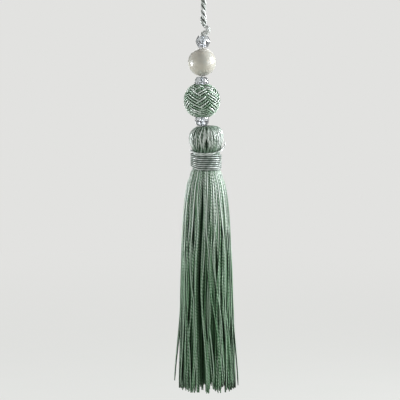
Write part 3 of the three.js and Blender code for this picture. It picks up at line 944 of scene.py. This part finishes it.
class TASSEL_OT_skirt(Operator):
    """Hang the skirt: locks of silk thread that spread below the binding"""

    bl_idname = "tassel.skirt"
    bl_label = "Tassel Skirt"

    # Share of the skirt's radius, number of threads, half angle of the gap near the front in degrees,
    # brightness, painted lower inside as shade, and how far threads stray, of each layer.
    LAYERS = (
        (1.0, 58, 4.5, 1.1, 0.22), (0.965, 80, 6.5, 0.62, 0.12), (0.9, 74, 5.5, 0.3, 0.11),
        (0.83, 66, 4.0, 0.2, 0.09), (0.74, 48, 0, 0, 0.1), (0.58, 32, 0, 0, 0.1), (0.34, 18, 0, 0, 0.1),
    )
    GAP_BEARING = math.radians(-104)
    # In the layers outside this share, one thread in so many is brighter than the rest by so much, a
    # painted highlight along it.
    PALE_SHARE, PALE_EACH, PALER = 0.95, 6, 1.3
    # Bearing, how far it flares out and how much shorter it is, of each stray thread.
    STRAYS = (
        (3.3, 2.6, 4.2), (3.05, 2.0, 6.5), (-0.12, 1.5, 2.0), (-0.4, 1.2, 5.5), (-2.6, 1.2, 3.0),
        (1.9, 1.6, 3),
    )
    STRAY_TONE = 2.3
    STEPS = 34

    def execute(self, context):
        sizes, colours = chosen(context)
        random = np.random.default_rng(40)
        threads = Threads()
        for share, count, half_gap, bright, stray in self.LAYERS:
            for i in range(count):
                bearing = FULL_TURN * (i + random.uniform(-0.3, 0.3)) / count
                depth = self.depths(random, sizes, share)
                turn = self.sway(random, bearing, depth, math.radians(half_gap), stray)
                tone = bright + random.uniform(-0.55, 0.6)
                if share > self.PALE_SHARE and i % self.PALE_EACH == 2:
                    tone += self.PALER
                self.hang(threads, random, sizes, share - random.uniform(0, 0.03), turn, depth, tone)
        for bearing, flare, short in self.STRAYS:
            depth = (sizes.skirt_length / MM - short) * np.linspace(0, 1, self.STEPS)
            turn = np.full(self.STEPS, bearing)
            self.hang(threads, random, sizes, 1, turn, depth, self.STRAY_TONE, flare)
        # Its finish paints shade towards the bottom, with weaker painted highlights there.
        piece = threads.build("tassel_skirt", [silk(
            "skirt_silk", colours.skirt_silk, 2, LAY["skirt"], relief=0.1, roughness=0.34, depth=0.03,
            pale=0.95, lit=(0.2, 0.95), twist=0.85, lower_shade=(-0.088, -0.14, 0.06),
        )])
        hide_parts("tassel")
        return {"FINISHED"}

    def depths(self, random, sizes, share):
        """Depths below the binding along a thread, closer together near its root."""
        short = 5.2 * random.random() ** 1.6 + 1.4 * (1 - share)
        return (sizes.skirt_length / MM - short) * np.linspace(0, 1, self.STEPS) ** 1.35

    def sway(self, random, bearing, depth, half_gap, reach):
        """A thread's bearing at each depth: it follows its lock, strays from it and leaves the gap."""
        fall = depth / SKIRT_LENGTH
        lock = 0.03 * math.sin(9 * bearing + 1.3) + 0.04 * np.sin(4 * bearing + 2.4 + 3 * fall)
        lock = lock + 0.012 * np.sin(17 * bearing + 5 * fall)
        turn = bearing + lock * smoothstep(0, 0.5, fall)
        turn = turn + reach * wander(random, fall, 2) * smoothstep(0.02, 0.4, fall)
        if half_gap:
            middle = self.GAP_BEARING + 0.07 * np.sin(7 * fall + 1)
            aside = (turn - middle + math.pi) % FULL_TURN - math.pi
            side = np.sign(aside[0])
            kept = half_gap * (0.35 + 0.65 * smoothstep(0, 0.2, fall) + 0.6 * smoothstep(0.5, 1, fall))
            turn = middle + side * np.maximum(side * aside, kept + 0.3 * np.abs(aside[0]))
        return turn

    def hang(self, threads, random, sizes, share, bearing, depth, tone, flare=0):
        """A thread: out from its root, down the skirt's outline, and a little to the right."""
        fall = depth / SKIRT_LENGTH
        root, spread, spread_depth, slope, inset = 7.1, 3.5, 12.3, 0.0185, 0.36
        outside = root + spread * (1 - np.exp(-depth / spread_depth)) + slope * depth - inset
        rooted = np.minimum(outside, 6.4)
        radius = rooted + (outside - rooted) * smoothstep(0, 0.05, fall)
        middle = float(bearing[-1])
        uneven = 1 + fall * (0.02 * math.sin(3 * middle + 0.5) + 0.016 * math.sin(7 * middle))
        radius = radius * share * uneven + 0.16 * wander(random, fall) * smoothstep(0, 0.2, fall)
        radius = radius + flare * smoothstep(0.6, 1, fall)
        points = round_tassel(bearing, radius, SKIRT_ROOT - depth)
        points[:, 0] += 0.5 * fall * np.sin(2.2 * fall)
        inner = points[:1] + (0, 0, 1.6)
        inner[0, :2] = (points[0, :2] - (TASSEL_X, 0)) * 0.86 + (TASSEL_X, 0)
        points = np.vstack([inner, points])
        out = points - (TASSEL_X, 0, 0)
        out[:, 2] = 0
        thick = sizes.skirt_thread / MM * random.uniform(0.9, 1.12)
        end = 1 - 0.35 * smoothstep(0.985, 1, np.linspace(0, 1, len(points)))
        threads.add(
            points, thick * end, out, sides=7, tone=tone, start=random.uniform(0, 9),
            slack=random.uniform(0.8, 1.25),
        )


class TASSEL_OT_binding(Operator):
    """Wind the thread round the tassel's neck"""

    bl_idname = "tassel.binding"
    bl_label = "Neck Binding"

    def execute(self, context):
        sizes, colours = chosen(context)
        thick = sizes.binding_thread / MM
        threads = Threads()
        middle = NECK_RADIUS + GAP + thick
        random = np.random.default_rng(5)
        turns, top, pitch = sizes.binding_turns, -78.34, 0.862
        share = np.linspace(0, 1, 170 * turns)
        back = math.pi / 2
        bearing = back + FULL_TURN * turns * share
        low = smoothstep(-0.2, 1.2, share)
        height = top + pitch / 2 - pitch * turns * share + low * self.ride(bearing, 1.5, 0.8)
        height = height + 0.07 * wander(random, share * 9)
        radius = middle + 0.05 * wander(random, share * 11)
        self.wind(threads, thick, bearing, radius, height, 0.62)
        bearing = np.linspace(back, back + FULL_TURN, 190)
        lift = self.ride(bearing, 1.2, 2.7)
        push = np.where(np.cos(bearing) > 0, 1.1, 0.4) * smoothstep(0.15, 1.4, lift)
        self.wind(threads, thick, bearing, middle + push, top + 0.7 + lift, 0.85, 0.8, 1)
        self.add_tuft(threads, random)
        colour, lay = colours.binding_silk, LAY["binding"]
        # The loose turn and the tuft take a copy with lighter painted shade on its sides and less white
        # painted highlights.
        piece = threads.build("neck_binding_thread", [
            silk("binding_silk", colour, 2, lay, depth=0.01, pale=1.08, lit=(0.35, 1), twist=0.15),
            silk("loose_binding_silk", colour, 2, lay, depth=0.3, pale=0.98, lit=(-0.4, 0.4), twist=0.3),
        ])
        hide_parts("neck_binding")
        return {"FINISHED"}

    def ride(self, bearing, left, right):
        """How far a turn rides up at its left and right sides."""
        aside = np.cos(bearing)
        return np.where(aside > 0, right, left) * aside**4

    def wind(self, threads, thick, bearing, radius, height, tone, loose=0, finish=0):
        """Adds turns of thread. A loose one's lit side turns to the front where it passes the sides."""
        route = round_tassel(bearing, radius, height)
        forwards = loose * (1 - abs(np.sin(bearing)))
        out = np.stack([np.cos(bearing), np.sin(bearing) - forwards, 0 * bearing], 1)
        threads.add(
            route, thick, out, sides=12, tone=tone, lobes=(2, LAY["binding"], 0.06), finish=finish
        )

    def add_tuft(self, threads, random):
        """The thread's own end, frayed, at the right of the loose turn."""
        fibres = 4
        for _ in range(fibres):
            side = random.uniform(-0.12, 0.12, 2)
            route = smooth_route([
                (8.7, -0.5, -75.6), (9.0 + side[0], -0.45, -74.3),
                (9.1 + side[0] * 2, -0.4 + side[1], -73.3),
                (9.0 + side[0] * 3, -0.4 + side[1] * 2, -72.6 + side[1]),
            ], 0.2)
            thin = 0.25 * (1 - 0.6 * np.linspace(0, 1, len(route)))
            threads.add(route, thin, (0, -1, 0), sides=6, tone=1.2, finish=1)


class TASSEL_PT_sidebar(Panel):
    """Lists the pendant's sizes, colours and pieces"""

    bl_idname = "TASSEL_PT_sidebar"
    bl_label = "Tassel Pendant"
    bl_space_type = "VIEW_3D"
    bl_region_type = "UI"
    bl_category = "Tassel Pendant"

    def draw(self, context):
        for group in chosen(context):
            column = self.layout.column(align=True)
            for name in group.__annotations__:
                column.prop(group, name)
        column = self.layout.column(align=True)
        for operator in OPERATORS:
            column.operator(operator.bl_idname)


OPERATORS = (
    TASSEL_OT_stage, TASSEL_OT_hanger, TASSEL_OT_bead_thread, TASSEL_OT_crystals, TASSEL_OT_pearl,
    TASSEL_OT_woven_ball, TASSEL_OT_head, TASSEL_OT_skirt, TASSEL_OT_binding,
)
CLASSES = (TasselSizes, TasselColours, *OPERATORS, TASSEL_PT_sidebar)


def register():
    for cls in CLASSES:
        bpy.utils.register_class(cls)
    bpy.types.Scene.tassel_sizes = PointerProperty(type=TasselSizes)
    bpy.types.Scene.tassel_colours = PointerProperty(type=TasselColours)


def unregister():
    del bpy.types.Scene.tassel_colours
    del bpy.types.Scene.tassel_sizes
    for cls in reversed(CLASSES):
        bpy.utils.unregister_class(cls)


def main():
    register()
    bpy.ops.tassel.stage()
    bpy.ops.tassel.hanger()
    bpy.ops.tassel.bead_thread()
    bpy.ops.tassel.crystals()
    bpy.ops.tassel.pearl()
    bpy.ops.tassel.woven_ball()
    bpy.ops.tassel.head()
    bpy.ops.tassel.skirt()
    bpy.ops.tassel.binding()


if __name__ == "__main__":
    main()
